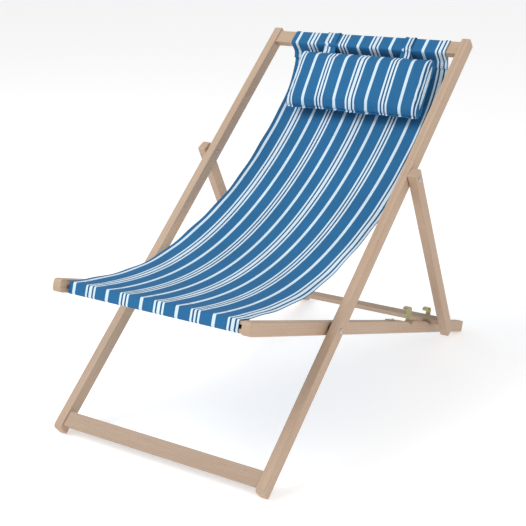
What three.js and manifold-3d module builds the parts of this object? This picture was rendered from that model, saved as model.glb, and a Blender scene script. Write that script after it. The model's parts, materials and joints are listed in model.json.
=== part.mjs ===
// Folding beach chair: three hinged beech frames, a striped sling, a headrest pillow and its two straps.
//
// Millimetres, +Z up. The sitter's feet point to -Y. Pieces called right are at +X: right is as seen from
// in front of the chair. The origin is on the floor, under the middle of the chair's box.
//
// Back frame: two long rails from the front feet to the top, a foot slat and a top bar.
// Seat frame: two rails from the front of the seat down to the rear feet, and two front bars.
// Prop frame: two legs hinged high on the back rails, and a crossbar that sits in a notch of the seat
// rails under a pair of steel catch hooks.
//
// Each frame is drawn in its own flat coordinates: s runs along its rails, n stands across them, and w
// is the chair's width (world +X).

import * as THREE from 'three';
import { mergeVertices } from 'three/addons/utils/BufferGeometryUtils.js';
import Module from 'manifold-3d';

const wasm = await Module();
wasm.setup();

// ---------------------------------------------------------------- driving dimensions

const RAIL_DEPTH = 30;            // across each rail, in its frame's plane of view from the side
const RAIL_THICK = 22;            // along the chair's width
const EDGE_ROUND = 1.6;           // eased edges of the wood
const FIT = 0.3;                  // gap between pieces that touch
const DOWN_CORNER = 3;            // radius of the rail corners that stand on the floor
const FOOT_CORNER = 12;           // radius of the back rails' front foot
const RAIL_TOP_CORNER = 5;        // radius of the rail corners at their upper ends
const SEAT_FRONT_CORNER = 9;      // radius of the seat rails' front ends
const LEG_CORNER = 4;

const BACK_HALF_WIDTH = 285;      // to the outside of the back rails
const BACK_LENGTH = 1250;
const BACK_ANGLE = 39.7;          // degrees from the floor
const SEAT_PIVOT = 398;           // along the back rail, from its foot
const PROP_PIVOT = 820;           // along the back rail, from its foot

const SEAT_GAP = 6;               // back rail to seat rail
const SEAT_FRONT = 326;           // seat pivot to the front end of the seat rail
const SEAT_REAR = 794;            // seat pivot to the rear end

const PROP_GAP = 2;               // back rail to prop leg
const PROP_ANGLE = -64.2;         // degrees, from the pivot down to the rear
const PROP_ABOVE = 20;            // leg above its pivot
const PROP_BELOW = 508;           // leg below its pivot

const FOOT_SLAT = { s: [11, 47], n: [0, 12] };
const TOP_BAR = { s: [1201, 1240], n: [-5, 12] };
const FRONT_BARS = { s: [-305, -279], upper: [3, 11], lower: [-13, -5] };
const CROSSBAR = { s: [471, 488], n: [-1, 15] };
const TENON = { length: 15, shoulder: 2.5 };
const PEG = { radius: 2.5, inset: 0.4 };      // wooden pin through the leg into the crossbar's tenon

const NOTCH = { pitch: 124, slope: 44, depth: 8.2, back: 8.4, floor: [-5, 2], ease: 1 };
const HOOK = {
  thick: 1.8,
  width: 13,
  rise: 35,                       // from the rail's upper edge to the top of the curl
  reach: 28,                      // across the curl
  crown: 8,                       // height of the curl, which is half an ellipse
  tip: 0.4,                       // from the curl's end to the middle of the rolled tip
  roll: 2,                        // radius of the rolled tip
  tab: 34,
  plate: 16,                      // height of the plate on the rail's inner face
  behind: 12.2,                   // notch floor to the standing strip
  lead: 110,                      // notch floor to the tab's front edge
  tabScrew: 8,                    // tab's rear edge to its screw
  plateScrew: [12, 12],           // ahead of the notch's slope, below the rail's top
};

const BOLT = {
  shank: 3,
  head: 6.4,
  rim: 0.9,
  proud: 2.2,
  dome: 2.2,
  hole: 4.5,
  barrel: 4,
  barrelLength: 18,
  bore: 3.3,
  socket: 2.6,
};
const WASHER = 10;                // radius of the nylon washers and spacers
const SCREW = { shank: 1.5, head: 3.4, hole: 2, length: 12, slot: [1.6, 0.9] };

const CLOTH = 1.8;                // thickness of the sling's solid
const SLING = {
  width: 446,
  topShift: 12,
  frontShift: -6,
  clear: 0.6,                     // cloth to the bar inside its sleeve
  topFrom: 8,                     // top bar's lower edge to where the hanging cloth leaves it
  frontFrom: 4,                   // front bars' front edge to where the hanging cloth leaves them
  topPulls: [[27, -150], [-363, -384]],
  frontPull: [352, -76],
  steps: 26,
};
const PILLOW = {
  width: 392,
  shift: 22,
  angle: 53.8,                    // degrees from the floor
  below: [-26, -4],               // from the sling's top, to the middle of the pillow's top edge
  ease: 6,
  // shares of its length from the top edge and of its thickness from its middle, and corner radius
  length: 172,
  thick: 66,
  outline: [
    [0, -0.36, 8],
    [0, 0.08, 10],
    [-0.5, 0.34, 60],
    [-1, 0.1, 10],
    [-1, -0.42, 10],
    [-0.5, -0.62, 50],
  ],
};
const STRAP = { thick: 1.6, tail: 130, clear: 1.6, turn: 5, from: [3, 6] };
const STRAPS = { left: [-113, -76], right: [113, 142] };

// ---------------------------------------------------------------- worked-out places

const rad = (degrees) => THREE.MathUtils.degToRad(degrees);

// A point of a frame's own plane, at distance s along and n across, as world [y, z].
function place(frame, s, n) {
  const c = Math.cos(rad(frame.angle));
  const q = Math.sin(rad(frame.angle));
  return [frame.y + s * c - n * q, frame.z + s * q + n * c];
}

// World [y, z] as a frame's own [s, n].
function along(frame, [y, z]) {
  const c = Math.cos(rad(frame.angle));
  const q = Math.sin(rad(frame.angle));
  return [(y - frame.y) * c + (z - frame.z) * q, (z - frame.z) * c - (y - frame.y) * q];
}

// The back rail stands on its rounded rear corner.
const half = RAIL_DEPTH / 2;
const back = { angle: BACK_ANGLE, y: 0, z: 0 };
back.z = (half - DOWN_CORNER) * Math.cos(rad(BACK_ANGLE))
  - DOWN_CORNER * Math.sin(rad(BACK_ANGLE)) + DOWN_CORNER;

// The seat rail hangs on its pivot and its rounded rear corner touches the floor too.
const [pivotY, pivotZ] = place(back, SEAT_PIVOT, 0);
const reach = Math.hypot(SEAT_REAR - DOWN_CORNER, half - DOWN_CORNER);
const seatAngle = Math.asin((pivotZ - DOWN_CORNER) / reach)
  - Math.atan2(half - DOWN_CORNER, SEAT_REAR - DOWN_CORNER);
const seat = { angle: -THREE.MathUtils.radToDeg(seatAngle), y: pivotY, z: pivotZ };

const [propY, propZ] = place(back, PROP_PIVOT, 0);
const prop = { angle: PROP_ANGLE, y: propY, z: propZ };

const backInner = BACK_HALF_WIDTH - RAIL_THICK;
const seatOuter = backInner - SEAT_GAP;
const seatInner = seatOuter - RAIL_THICK;
const propInner = BACK_HALF_WIDTH + PROP_GAP;
const propOuter = propInner + RAIL_THICK;

// The crossbar's lowest corner rests in the rear notch of the seat rail; the front notch is one pitch on.
const [restS, restN] = along(seat, place(prop, CROSSBAR.s[1], CROSSBAR.n[0]));
const notchFloor = Math.min(restN - FIT, half - NOTCH.depth + FIT);
const notches = [restS - NOTCH.pitch, restS];

// ---------------------------------------------------------------- solids

function toSolid(geometry) {
  const bare = geometry.index ? geometry.toNonIndexed() : geometry.clone();
  for (const name of Object.keys(bare.attributes)) {
    if (name !== 'position') bare.deleteAttribute(name);
  }
  const merged = mergeVertices(bare, 1e-4);
  return new wasm.Manifold(new wasm.Mesh({
    numProp: 3,
    vertProperties: new Float32Array(merged.attributes.position.array),
    triVerts: new Uint32Array(merged.index.array),
  }));
}

function toGeometry(solid) {
  const mesh = solid.getMesh();
  const geometry = new THREE.BufferGeometry();
  geometry.setAttribute('position', new THREE.BufferAttribute(new Float32Array(mesh.vertProperties), 3));
  geometry.setIndex(new THREE.BufferAttribute(new Uint32Array(mesh.triVerts), 1));
  return geometry;
}

// The first geometry with others cut away from it.
function cut(geometry, tools) {
  return toGeometry(tools.reduce((solid, tool) => solid.subtract(toSolid(tool)), toSolid(geometry)));
}

function join(geometries) {
  const [first, ...rest] = geometries.map(toSolid);
  return toGeometry(rest.reduce((solid, other) => solid.add(other), first));
}

// A block between two limits in s, n and w.
function block([s0, s1], [n0, n1], [w0, w1]) {
  const geometry = new THREE.BoxGeometry(s1 - s0, n1 - n0, w1 - w0);
  return geometry.translate((s0 + s1) / 2, (n0 + n1) / 2, (w0 + w1) / 2);
}

// A closed outline from corners [s, n, radius], each rounded to its radius.
function rounded(corners) {
  const shape = new THREE.Shape();
  corners.forEach(([s, n, r], i) => {
    const before = corners.at(i - 1);
    const after = corners[(i + 1) % corners.length];
    const from = new THREE.Vector2(before[0] - s, before[1] - n).setLength(r || 0);
    const to = new THREE.Vector2(after[0] - s, after[1] - n).setLength(r || 0);
    const start = i === 0 ? 'moveTo' : 'lineTo';
    shape[start](s + from.x, n + from.y);
    if (r) shape.quadraticCurveTo(s, n, s + to.x, n + to.y);
  });
  shape.closePath();
  return shape;
}

function rectangle([s0, s1], [n0, n1], r) {
  return rounded([[s0, n0, r], [s1, n0, r], [s1, n1, r], [s0, n1, r]]);
}

// An outline carried from w0 to w1, with its edges eased.
function plank(shape, [w0, w1], ease = EDGE_ROUND, curveSegments = 5) {
  const geometry = new THREE.ExtrudeGeometry(shape, {
    depth: w1 - w0 - 2 * ease,
    bevelEnabled: ease > 0,
    bevelThickness: ease,
    bevelSize: ease,
    bevelOffset: -ease,
    bevelSegments: 2,
    curveSegments,
  });
  return geometry.translate(0, 0, w0 + ease);
}

// A round bar along w, at [s, n].
function rod([s, n], [w0, w1], radius, sides = 24) {
  const geometry = new THREE.CylinderGeometry(radius, radius, w1 - w0, sides);
  return geometry.rotateX(Math.PI / 2).translate(s, n, (w0 + w1) / 2);
}

// A solid turned around w from [distance along w, radius] pairs.
function turned(profile, [s, n], sides = 24) {
  const points = profile.map(([w, r]) => new THREE.Vector2(r, w));
  return new THREE.LatheGeometry(points, sides).rotateX(Math.PI / 2).translate(s, n, 0);
}

// The mirror image in the chair's middle plane, with its faces turned to point outwards again.
function mirrored(geometry) {
  const copy = (geometry.index ? geometry.toNonIndexed() : geometry.clone()).scale(1, 1, -1);
  const p = copy.attributes.position;
  const a = new THREE.Vector3();
  const b = new THREE.Vector3();
  for (let i = 0; i < p.count; i += 3) {
    a.fromBufferAttribute(p, i + 1);
    b.fromBufferAttribute(p, i + 2);
    p.setXYZ(i + 1, b.x, b.y, b.z);
    p.setXYZ(i + 2, a.x, a.y, a.z);
  }
  return mergeVertices(stripped(copy), 1e-4);
}

function stripped(geometry) {
  geometry.deleteAttribute('normal');
  geometry.deleteAttribute('uv');
  return geometry;
}

// ---------------------------------------------------------------- materials

const beech = () => new THREE.MeshStandardMaterial({ color: 0xcdb08f, roughness: 0.55, metalness: 0 });
const steel = () => new THREE.MeshStandardMaterial({ color: 0xb9bcc0, roughness: 0.35, metalness: 1 });
const zinc = () => new THREE.MeshStandardMaterial({ color: 0xc9b46e, roughness: 0.4, metalness: 1 });
const nylon = () => new THREE.MeshStandardMaterial({ color: 0x3a3a3c, roughness: 0.6, metalness: 0 });
const canvas = () => new THREE.MeshStandardMaterial({ color: 0x2d6ba3, roughness: 0.9, metalness: 0 });

// ---------------------------------------------------------------- assembly

const chair = new THREE.Group();

// A group whose own axes are a frame's s, n and w.
function frameGroup({ angle, y, z }) {
  const c = Math.cos(rad(angle));
  const q = Math.sin(rad(angle));
  const basis = new THREE.Matrix4().makeBasis(
    new THREE.Vector3(0, c, q),
    new THREE.Vector3(0, -q, c),
    new THREE.Vector3(1, 0, 0),
  );
  const group = new THREE.Group();
  group.quaternion.setFromRotationMatrix(basis);
  group.position.set(0, y, z);
  chair.add(group);
  return group;
}

const backGroup = frameGroup(back);
const seatGroup = frameGroup(seat);
const propGroup = frameGroup(prop);
const clothGroup = frameGroup({ angle: 0, y: 0, z: 0 });

function add(group, name, geometry, material) {
  const mesh = new THREE.Mesh(geometry, material);
  mesh.name = name;
  group.add(mesh);
}

// The right-hand piece as drawn, and the left-hand one as its mirror image.
function addPair(group, name, geometry, material) {
  add(group, `${name}_right`, geometry, material());
  add(group, `${name}_left`, mirrored(geometry), material());
}

// ---------------------------------------------------------------- crosspieces and their mortises

// A crosspiece between two rails: a bar with shoulders against the rails and a tenon at each end.
function crosspiece(bar, inner, shoulder = TENON.shoulder) {
  const w = inner - FIT;
  const body = plank(rectangle(bar.s, bar.n, EDGE_ROUND), [-w, w], 0, 3);
  const section = rectangle(
    [bar.s[0] + shoulder, bar.s[1] - shoulder],
    [bar.n[0] + shoulder, bar.n[1] - shoulder],
    EDGE_ROUND,
  );
  const tenonEnd = inner + TENON.length - FIT;
  return join([body, plank(section, [-tenonEnd, tenonEnd], 0, 3)]);
}

// The pocket in the right-hand rail that takes the crosspiece's tenon.
function mortise(bar, inner, shoulder = TENON.shoulder) {
  const room = shoulder - FIT;
  return block(
    [bar.s[0] + room, bar.s[1] - room],
    [bar.n[0] + room, bar.n[1] - room],
    [inner - 1, inner + TENON.length],
  );
}

// ---------------------------------------------------------------- back frame

const backShape = rounded([
  [0, -half, DOWN_CORNER],
  [BACK_LENGTH, -half, RAIL_TOP_CORNER],
  [BACK_LENGTH, half, RAIL_TOP_CORNER],
  [0, half, FOOT_CORNER],
]);
const backRail = cut(plank(backShape, [backInner, BACK_HALF_WIDTH]), [
  mortise(FOOT_SLAT, backInner),
  mortise(TOP_BAR, backInner),
  rod([SEAT_PIVOT, 0], [backInner - 1, BACK_HALF_WIDTH + 1], BOLT.hole),
  rod([PROP_PIVOT, 0], [backInner - 1, BACK_HALF_WIDTH + 1], BOLT.hole),
]);
addPair(backGroup, 'back_rail', backRail, beech);
add(backGroup, 'foot_slat', crosspiece(FOOT_SLAT, backInner), beech());
add(backGroup, 'top_bar', crosspiece(TOP_BAR, backInner), beech());

// ---------------------------------------------------------------- seat frame

const upperBar = { s: FRONT_BARS.s, n: FRONT_BARS.upper };
const lowerBar = { s: FRONT_BARS.s, n: FRONT_BARS.lower };

// A ratchet notch: a long slope that the crossbar slides down, and a steep back that stops it.
function notchTool(floorS) {
  const shape = new THREE.Shape();
  shape.moveTo(floorS - NOTCH.slope, half + 1);
  shape.lineTo(floorS - NOTCH.slope, half);
  shape.quadraticCurveTo(
    floorS - NOTCH.slope / 2,
    half - NOTCH.ease,
    floorS + NOTCH.floor[0],
    notchFloor,
  );
  shape.lineTo(floorS + NOTCH.floor[1], notchFloor);
  shape.lineTo(floorS + NOTCH.back, half);
  shape.lineTo(floorS + NOTCH.back, half + 1);
  shape.closePath();
  return new THREE.ExtrudeGeometry(shape, {
    depth: 2 * propOuter,
    bevelEnabled: false,
    curveSegments: 5,
  }).translate(0, 0, -propOuter);
}

const tabScrewAt = (floorS) => floorS - HOOK.lead + HOOK.tab - HOOK.tabScrew;
const plateScrewAt = (floorS) => [floorS - NOTCH.slope - HOOK.plateScrew[0], half - HOOK.plateScrew[1]];

const seatShape = rounded([
  [-SEAT_FRONT, -half, SEAT_FRONT_CORNER],
  [SEAT_REAR, -half, DOWN_CORNER],
  [SEAT_REAR, half, RAIL_TOP_CORNER],
  [-SEAT_FRONT, half, SEAT_FRONT_CORNER],
]);
const pilotHoles = notches.flatMap((floorS) => [
  rod([tabScrewAt(floorS), 0], [-SCREW.length, SCREW.length], SCREW.hole, 12)
    .translate(-tabScrewAt(floorS), 0, 0)
    .rotateX(Math.PI / 2)
    .translate(tabScrewAt(floorS), half, seatInner + HOOK.width / 2),
  rod(plateScrewAt(floorS), [seatInner - 1, seatInner + SCREW.length], SCREW.hole, 12),
]);
const seatRail = cut(plank(seatShape, [seatInner, seatOuter]), [
  mortise(upperBar, seatInner, 0),
  mortise(lowerBar, seatInner, 0),
  rod([0, 0], [seatInner - 1, seatOuter + 1], BOLT.hole),
  ...notches.map(notchTool),
  ...pilotHoles,
]);
addPair(seatGroup, 'seat_rail', seatRail, beech);
add(seatGroup, 'front_bar_upper', crosspiece(upperBar, seatInner, 0), beech());
add(seatGroup, 'front_bar_lower', crosspiece(lowerBar, seatInner, 0), beech());

// ---------------------------------------------------------------- catch hooks

// One stamped steel bracket on the inner face of the seat rail: a plate, a tab bent over the rail's top
// in front of the notch, and a strip that stands up behind the notch and curls forward over it.
function hookBracket(floorS) {
  const t = HOOK.thick;
  const back0 = floorS + HOOK.behind;
  const tabFront = floorS - HOOK.lead;
  const top = half + FIT;
  const face = seatInner - FIT;
  const strip = [face - t, face - t + HOOK.width];
  const plate = block([tabFront, back0 + t], [half - HOOK.plate, top + t], [face - t, face]);
  const tab = block([tabFront, tabFront + HOOK.tab], [top, top + t], strip);
  const gap = block([tabFront + HOOK.tab, back0], [half - 3, top + t + 1], [face - 2 * t, face + 1]);

  // The curled strip, seen from the side: up, over in half an ellipse, and to a rolled tip.
  const r = HOOK.reach / 2;
  const high = half + HOOK.rise - HOOK.crown;
  const curl = new THREE.Shape();
  curl.moveTo(back0 + t, top - 2);
  curl.lineTo(back0 + t, high);
  curl.absellipse(back0 + t - r, high, r, HOOK.crown, 0, Math.PI, false);
  const tipS = back0 + t - 2 * r;
  curl.lineTo(tipS, high - HOOK.tip);
  curl.absarc(tipS + HOOK.roll, high - HOOK.tip, HOOK.roll, Math.PI, 2 * Math.PI, false);
  curl.lineTo(tipS + t + 0.3, high + 0.2);
  curl.absellipse(back0 + t - r, high, r - t, HOOK.crown - t, 0.96 * Math.PI, 0, true);
  curl.lineTo(back0, top - 2);
  curl.closePath();
  const curled = new THREE.ExtrudeGeometry(curl, {
    depth: HOOK.width,
    bevelEnabled: false,
    curveSegments: 10,
  }).translate(0, 0, strip[0]);
  // the strip joins the plate at its foot, and stands clear of the wood beside it
  const foot = block([back0 - 0.5, back0 + t + 0.5], [top - 3, top], [face, face + HOOK.width]);
  return cut(join([cut(plate, [gap]), tab, cut(curled, [foot])]), [
    notchTool(floorS),
    rod(plateScrewAt(floorS), [face - 2 * t, face + 1], SCREW.hole, 12),
    uprightHole(tabScrewAt(floorS)),
  ]);
}

// A hole through the tab, along n.
function uprightHole(s) {
  const hole = new THREE.CylinderGeometry(SCREW.hole, SCREW.hole, 12, 12);
  return hole.translate(s, half, seatInner + HOOK.width / 2);
}

// A domed wood screw with a slotted head; its axis is +Y and its head's underside is at 0.
function woodScrew() {
  const profile = [[-SCREW.length + 2, 0], [-SCREW.length + 3.5, 1], [-0.01, SCREW.shank], [0, SCREW.head],
    [0.8, SCREW.head], [1.7, 2.2], [2, 0]];
  const body = new THREE.LatheGeometry(profile.map(([y, r]) => new THREE.Vector2(r, y)), 16);
  return cut(body, [new THREE.BoxGeometry(3 * SCREW.head, ...SCREW.slot).translate(0, 2, 0)]);
}

['front', 'rear'].forEach((which, i) => {
  const floorS = notches[i];
  addPair(seatGroup, `catch_hook_${which}`, hookBracket(floorS), zinc);
  const tabScrew = woodScrew().translate(
    tabScrewAt(floorS), half + HOOK.thick + 2 * FIT, seatInner + HOOK.width / 2);
  addPair(seatGroup, `hook_tab_screw_${which}`, tabScrew, zinc);
  const plateScrew = woodScrew().rotateX(-Math.PI / 2).translate(
    ...plateScrewAt(floorS), seatInner - HOOK.thick - 2 * FIT);
  addPair(seatGroup, `hook_plate_screw_${which}`, plateScrew, zinc);
});

// ---------------------------------------------------------------- prop frame

const legShape = rounded([
  [-PROP_ABOVE, -half, LEG_CORNER],
  [PROP_BELOW, -half, LEG_CORNER],
  [PROP_BELOW, half, LEG_CORNER],
  [-PROP_ABOVE, half, LEG_CORNER],
]);
const pinS = (CROSSBAR.s[0] + CROSSBAR.s[1]) / 2;
const pinW = propInner + TENON.length / 2;

// A round piece along n through the leg's front face, between two heights.
function crossPin([n0, n1], radius) {
  return new THREE.CylinderGeometry(radius, radius, n1 - n0, 16).translate(pinS, (n0 + n1) / 2, pinW);
}

const pinEnd = (CROSSBAR.n[0] + CROSSBAR.n[1]) / 2;
const propLeg = cut(plank(legShape, [propInner, propOuter]), [
  mortise(CROSSBAR, propInner),
  rod([0, 0], [propInner - 1, propOuter + 1], BOLT.hole),
  crossPin([-half - 1, pinEnd], PEG.radius + FIT),
]);
addPair(propGroup, 'prop_leg', propLeg, beech);

const crossbar = cut(crosspiece(CROSSBAR, propInner), [
  crossPin([-half, pinEnd], PEG.radius + FIT),
  crossPin([-half, pinEnd], PEG.radius + FIT).translate(0, 0, -2 * pinW),
]);
add(propGroup, 'prop_crossbar', crossbar, beech());
addPair(propGroup, 'crossbar_pin', crossPin([-half + PEG.inset, pinEnd - FIT], PEG.radius), beech);

// ---------------------------------------------------------------- pivots

// A furniture connector: a flat-domed bolt head with a hexagon socket outside, its shank running into
// the barrel of a matching nut inside.
function pivotBolt(at, outer, inner) {
  const head = outer + FIT;
  const body = turned([
    [inner + 6, 0],
    [inner + 6, BOLT.shank],
    [head, BOLT.shank],
    [head, BOLT.head],
    [head + BOLT.rim, BOLT.head],
    [head + BOLT.proud, BOLT.head - BOLT.dome],
    [head + BOLT.proud, 0],
  ], at);
  return cut(body, [rod(at, [head, head + BOLT.proud + 1], BOLT.socket, 6)]);
}

function pivotNut(at, inner) {
  const head = inner - FIT;
  return turned([
    [head - BOLT.proud, 0],
    [head - BOLT.proud, BOLT.head - BOLT.dome],
    [head - BOLT.rim, BOLT.head],
    [head, BOLT.head],
    [head, BOLT.barrel],
    [head + BOLT.barrelLength, BOLT.barrel],
    [head + BOLT.barrelLength, BOLT.bore],
    [head + 1, BOLT.bore],
    [head + 1, 0],
  ], at);
}

function spacer(at, [w0, w1]) {
  return cut(rod(at, [w0, w1], WASHER), [rod(at, [w0 - 1, w1 + 1], BOLT.hole)]);
}

const seatAt = [SEAT_PIVOT, 0];
const propAt = [PROP_PIVOT, 0];
addPair(backGroup, 'seat_pivot_bolt', pivotBolt(seatAt, BACK_HALF_WIDTH, seatInner), steel);
addPair(backGroup, 'seat_pivot_nut', pivotNut(seatAt, seatInner), steel);
addPair(backGroup, 'seat_pivot_spacer', spacer(seatAt, [seatOuter + FIT, backInner - FIT]), nylon);
addPair(backGroup, 'prop_pivot_bolt', pivotBolt(propAt, propOuter, backInner), steel);
addPair(backGroup, 'prop_pivot_nut', pivotNut(propAt, backInner), steel);
addPair(backGroup, 'prop_pivot_washer', spacer(propAt, [BACK_HALF_WIDTH + FIT, propInner - FIT]), nylon);

// ---------------------------------------------------------------- sling

// A band of cloth, seen from the side: a closed outline at half its thickness on each side of a line of
// world [y, z] points.
function band(points, thickness) {
  const line = points.map(([y, z]) => new THREE.Vector2(y, z));
  const sides = [[], []];
  line.forEach((point, i) => {
    const ahead = line[Math.min(i + 1, line.length - 1)];
    const behind = line[Math.max(i - 1, 0)];
    const across = ahead.clone().sub(behind).normalize().rotateAround(new THREE.Vector2(), Math.PI / 2);
    sides[0].push(point.clone().addScaledVector(across, thickness / 2));
    sides[1].unshift(point.clone().addScaledVector(across, -thickness / 2));
  });
  return new THREE.Shape([...sides[0], ...sides[1]]);
}

// A sleeve of cloth around a bar of a frame, with its inner face clear of the bar.
function sleeve(frame, [s0, s1], [n0, n1]) {
  const ring = (grow, r) => rectangle([s0 - grow, s1 + grow], [n0 - grow, n1 + grow], r)
    .getPoints(4)
    .map(({ x, y }) => new THREE.Vector2(...place(frame, x, y)));
  const shape = new THREE.Shape(ring(SLING.clear + CLOTH, 4));
  shape.holes.push(new THREE.Path(ring(SLING.clear, 2.5)));
  return shape;
}

// An outline in world y and z carried across the chair's width.
function across(shape, [x0, x1]) {
  return new THREE.ExtrudeGeometry(shape, { depth: x1 - x0, bevelEnabled: false, curveSegments: 6 })
    .translate(0, 0, x0);
}

const halfCloth = SLING.clear + CLOTH / 2;
const slingTop = place(back, TOP_BAR.s[0] + SLING.topFrom, TOP_BAR.n[0] - halfCloth);
const slingFront = place(seat, FRONT_BARS.s[0] + SLING.frontFrom, FRONT_BARS.upper[1] + halfCloth);

// The hanging curve of the sling: steep behind the head, slack under the seat, nearly level in front.
const offset = ([y, z], [dy, dz]) => [y + dy, z + dz];
const pull = [
  slingTop,
  ...SLING.topPulls.map((step) => offset(slingTop, step)),
  offset(slingFront, SLING.frontPull),
  slingFront,
];
const slingCurve = [];
for (let i = 0; i <= SLING.steps; i += 1) {
  const t = i / SLING.steps;
  const u = 1 - t;
  const weights = [u ** 4, 4 * u ** 3 * t, 6 * u * u * t * t, 4 * u * t ** 3, t ** 4];
  slingCurve.push([0, 1].map((k) => weights.reduce((sum, weight, j) => sum + weight * pull[j][k], 0)));
}

const slingWidth = [-SLING.width / 2, SLING.width / 2];
const sling = join([
  across(sleeve(back, TOP_BAR.s, TOP_BAR.n), slingWidth),
  across(band(slingCurve, CLOTH), slingWidth),
  across(sleeve(seat, FRONT_BARS.s, [FRONT_BARS.lower[0], FRONT_BARS.upper[1]]), slingWidth),
]);

// The cloth sits a little to one side at the top and to the other at the front.
const slant = sling.attributes.position;
for (let i = 0; i < slant.count; i += 1) {
  const t = (slant.getX(i) - slingFront[0]) / (slingTop[0] - slingFront[0]);
  slant.setZ(i, slant.getZ(i) + THREE.MathUtils.lerp(SLING.frontShift, SLING.topShift, t));
}
add(clothGroup, 'sling', sling, canvas());

// ---------------------------------------------------------------- headrest pillow

// The pillow lies on the sling below the top bar: flat behind, crowned in front.
const [pillowY, pillowZ] = offset(slingTop, PILLOW.below);
const pillowFrame = { angle: PILLOW.angle, y: pillowY, z: pillowZ };
const pillowShape = rounded(PILLOW.outline.map(([s, n, r]) => [s * PILLOW.length, n * PILLOW.thick, r]));
const pillowGroup = frameGroup(pillowFrame);
add(pillowGroup, 'headrest_pillow', plank(pillowShape, [
  PILLOW.shift - PILLOW.width / 2,
  PILLOW.shift + PILLOW.width / 2,
], PILLOW.ease, 8), canvas());

// ---------------------------------------------------------------- pillow straps

// Each strap leaves the pillow's top edge, lies over the sleeve on the top bar and hangs down behind.
// The line is drawn in the back frame's plane, at a distance from the bar that clears the sleeve.
const off = SLING.clear + CLOTH + STRAP.clear + STRAP.thick / 2;
const turn = STRAP.turn;
const [barFoot, barTop] = TOP_BAR.s;
const [barRear, barFront] = TOP_BAR.n;
const overBar = new THREE.Path();
overBar.moveTo(...along(back, place(pillowFrame, ...STRAP.from)));
overBar.quadraticCurveTo(barFoot - turn, barFront + off, barFoot + 2 * turn, barFront + off);
overBar.lineTo(barTop - turn, barFront + off);
overBar.quadraticCurveTo(barTop + off, barFront + off, barTop + off, barFront - turn);
overBar.lineTo(barTop + off, barRear + turn);
overBar.quadraticCurveTo(barTop + off, barRear - turn, barTop + off - turn, barRear - 2 * turn);
const strapLine = overBar.getPoints(5).map(({ x, y }) => place(back, x, y));
const [lastY, lastZ] = strapLine.at(-1);
strapLine.push([lastY + 3, lastZ - STRAP.tail / 2], [lastY + 2, lastZ - STRAP.tail]);

for (const [side, width] of Object.entries(STRAPS)) {
  add(clothGroup, `pillow_strap_${side}`, across(band(strapLine, STRAP.thick), width), canvas());
}

// ---------------------------------------------------------------- origin

// The chair's box runs from the cloth over the front bars to the rear ends of the seat rails.
chair.updateMatrixWorld(true);
const box = new THREE.Box3().setFromObject(chair, true);
const centre = box.getCenter(new THREE.Vector3());
for (const group of chair.children) {
  group.position.sub(new THREE.Vector3(centre.x, centre.y, box.min.z));
}

export default chair;
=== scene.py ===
"""Folding beach chair: three hinged beech frames, a striped canvas sling, a headrest pillow and its straps.

Metres, +Z up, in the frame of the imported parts. The sitter's feet point to -Y, and right is +X.
"""

import json
import math

import bpy
import numpy as np
from mathutils import Matrix, Vector
from mathutils.bvhtree import BVHTree


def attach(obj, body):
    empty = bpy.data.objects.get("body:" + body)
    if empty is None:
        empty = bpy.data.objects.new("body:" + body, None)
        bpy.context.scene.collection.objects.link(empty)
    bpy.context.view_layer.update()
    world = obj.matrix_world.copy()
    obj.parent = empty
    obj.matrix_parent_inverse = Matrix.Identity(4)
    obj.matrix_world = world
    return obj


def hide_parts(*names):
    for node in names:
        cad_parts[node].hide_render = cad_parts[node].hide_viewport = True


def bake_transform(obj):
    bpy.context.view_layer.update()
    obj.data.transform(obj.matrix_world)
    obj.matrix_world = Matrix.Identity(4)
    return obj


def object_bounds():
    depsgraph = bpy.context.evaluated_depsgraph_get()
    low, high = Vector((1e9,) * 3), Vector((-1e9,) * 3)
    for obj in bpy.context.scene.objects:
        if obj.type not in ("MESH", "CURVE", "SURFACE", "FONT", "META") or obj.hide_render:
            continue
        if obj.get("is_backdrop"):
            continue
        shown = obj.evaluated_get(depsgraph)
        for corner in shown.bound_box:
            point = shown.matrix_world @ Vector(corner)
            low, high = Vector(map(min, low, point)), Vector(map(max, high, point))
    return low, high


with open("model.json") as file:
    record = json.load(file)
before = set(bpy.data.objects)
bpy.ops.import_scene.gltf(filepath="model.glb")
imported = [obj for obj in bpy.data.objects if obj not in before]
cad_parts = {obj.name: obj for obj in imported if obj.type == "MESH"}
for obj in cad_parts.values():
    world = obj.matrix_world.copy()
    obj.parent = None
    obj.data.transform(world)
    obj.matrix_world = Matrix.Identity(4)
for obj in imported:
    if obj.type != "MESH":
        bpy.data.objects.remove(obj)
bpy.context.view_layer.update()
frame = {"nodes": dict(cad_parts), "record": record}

# ---------------------------------------------------------------- camera, floor and light
# A long lens a little above and to the right of the seat's front. The floor is plain and pale with a weak
# glow of its own. One large soft panel stands in front on the left, a weaker one on the right, and the sky
# is an even white.

CAMERA_AT = (1.3516, -2.1638, 1.1574)
CAMERA_YAW, CAMERA_PITCH, CAMERA_ROLL = 33.11, -18.41, -0.72
CAMERA_LENS = 75.18
SENSOR = 36.0

FLOOR_SIZE = 60.0
FLOOR_COLOUR = (0.86, 0.86, 0.86, 1)
FLOOR_GLOW = 0.36                    # keeps the floor near white under the chair and far away
SKY_STRENGTH = 0.62
# where each panel stands, its side and its power
PANELS = {
    "panel_left": ((-2.6, -2.2, 3.4), 3.0, 104.0),
    "panel_right": ((3.0, -1.6, 2.2), 2.6, 30.0),
}
PANELS_AIM = (0.0, 0.0, 0.35)


def place_in_scene(name, data):
    """A new object for data, linked to the scene and standing at the origin."""
    thing = bpy.data.objects.new(name, data)
    bpy.context.scene.collection.objects.link(thing)
    return thing


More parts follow.
